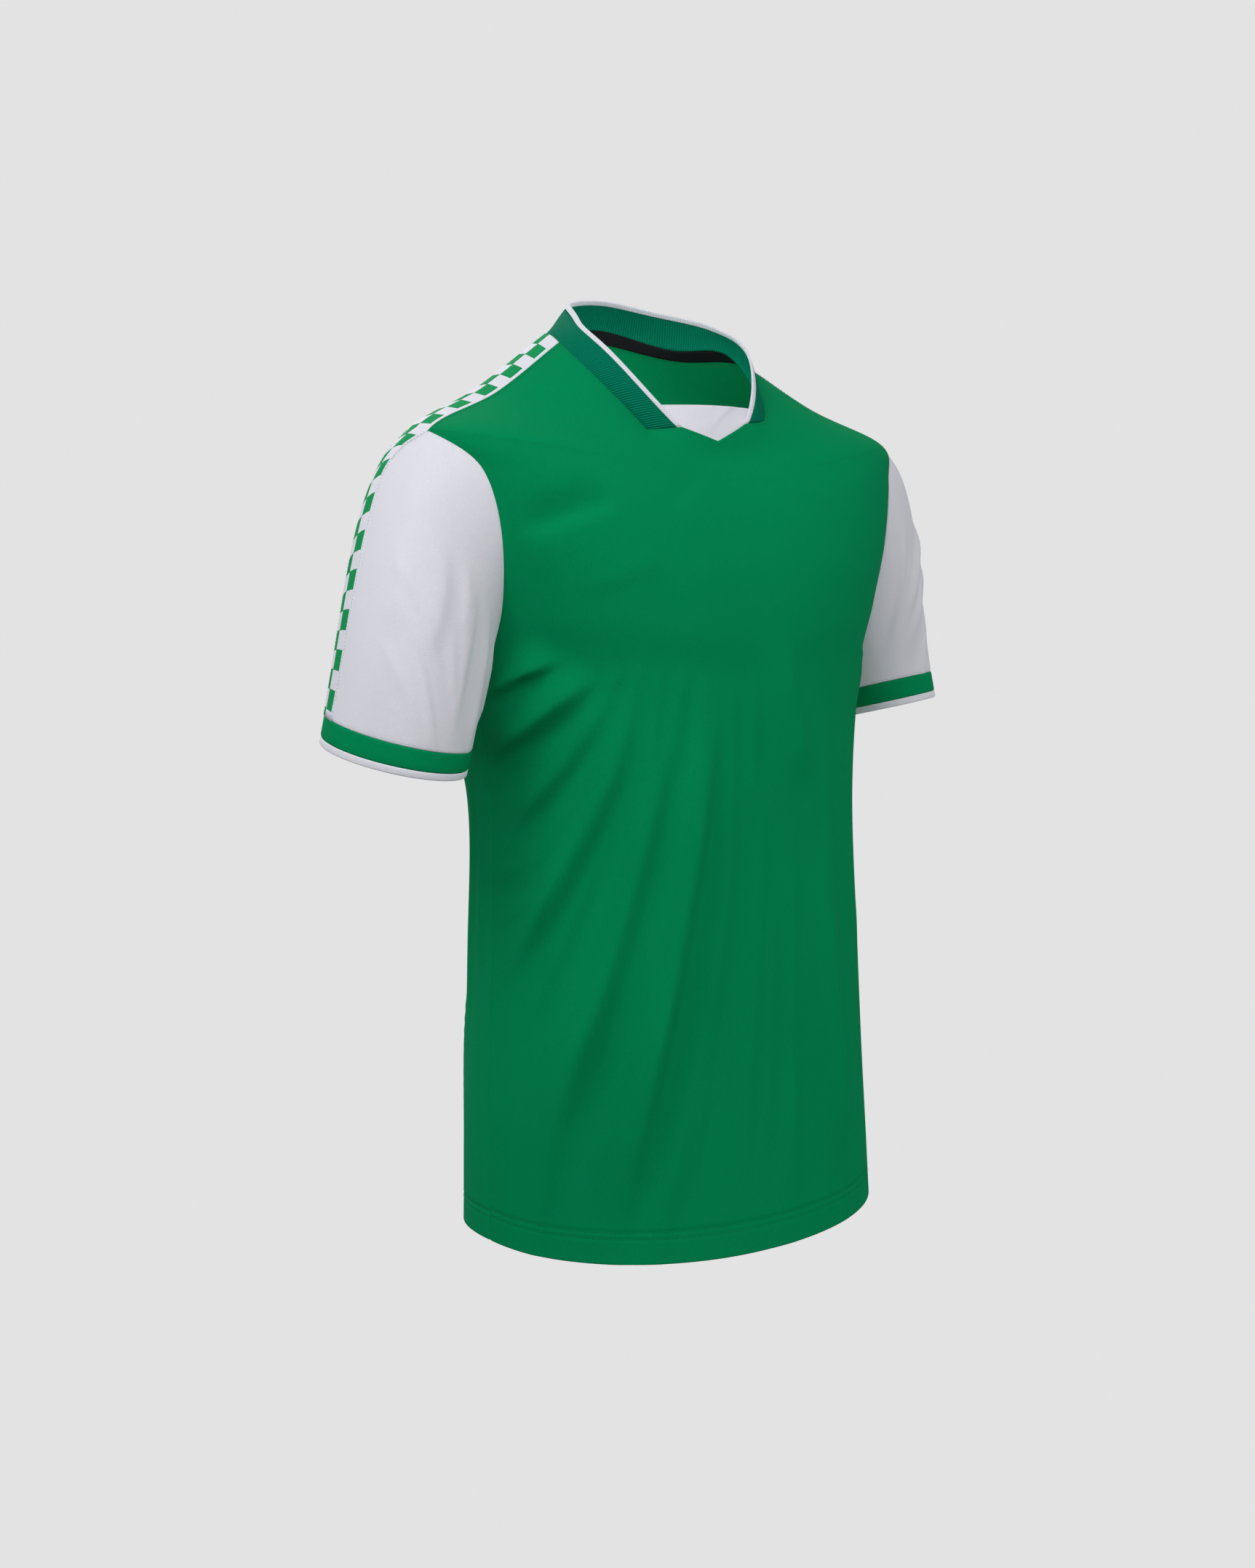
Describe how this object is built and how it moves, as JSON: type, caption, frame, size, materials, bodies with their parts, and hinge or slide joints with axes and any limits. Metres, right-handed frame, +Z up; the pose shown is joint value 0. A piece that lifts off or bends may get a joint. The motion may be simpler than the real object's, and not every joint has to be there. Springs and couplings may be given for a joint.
{
  "type": "short-sleeved football jersey",
  "caption": "Hollow worn-form short-sleeved football jersey with a ribbed notch collar, check tapes along the shoulders and sleeves, and banded cuffs.",
  "frame": {"origin": "between the shoulders, on the centre line of the neck opening, level with the top of the right shoulder seam", "axes": "+Z up, -Y towards the front of the garment, +X towards the wearer's left"},
  "size_m": [0.5942, 0.278, 0.7525],
  "materials": {
    "body_cloth": "fine smooth polyester interlock, soft sheen",
    "white_cloth": "fine smooth polyester interlock, soft sheen",
    "rib_knit": "matt fine rib knit",
    "white_knit": "matt fine knit",
    "cuff_knit": "matt fine knit",
    "check_tape": "woven tape with green blocks on white",
    "black_tape": "matt woven cotton tape"
  },
  "bodies": {
    "root": {"front": "body_cloth", "back": "body_cloth", "sleeve_right": "white_cloth", "cuff_band_right": "cuff_knit", "cuff_tip_right": "white_knit", "shoulder_tape_right": "check_tape", "sleeve_left": "white_cloth", "cuff_band_left": "cuff_knit", "cuff_tip_left": "white_knit", "shoulder_tape_left": "check_tape", "collar_rib": "rib_knit", "collar_tip": "white_knit", "neck_insert": "white_cloth", "neck_tape": "black_tape"}
  },
  "joints": []
}
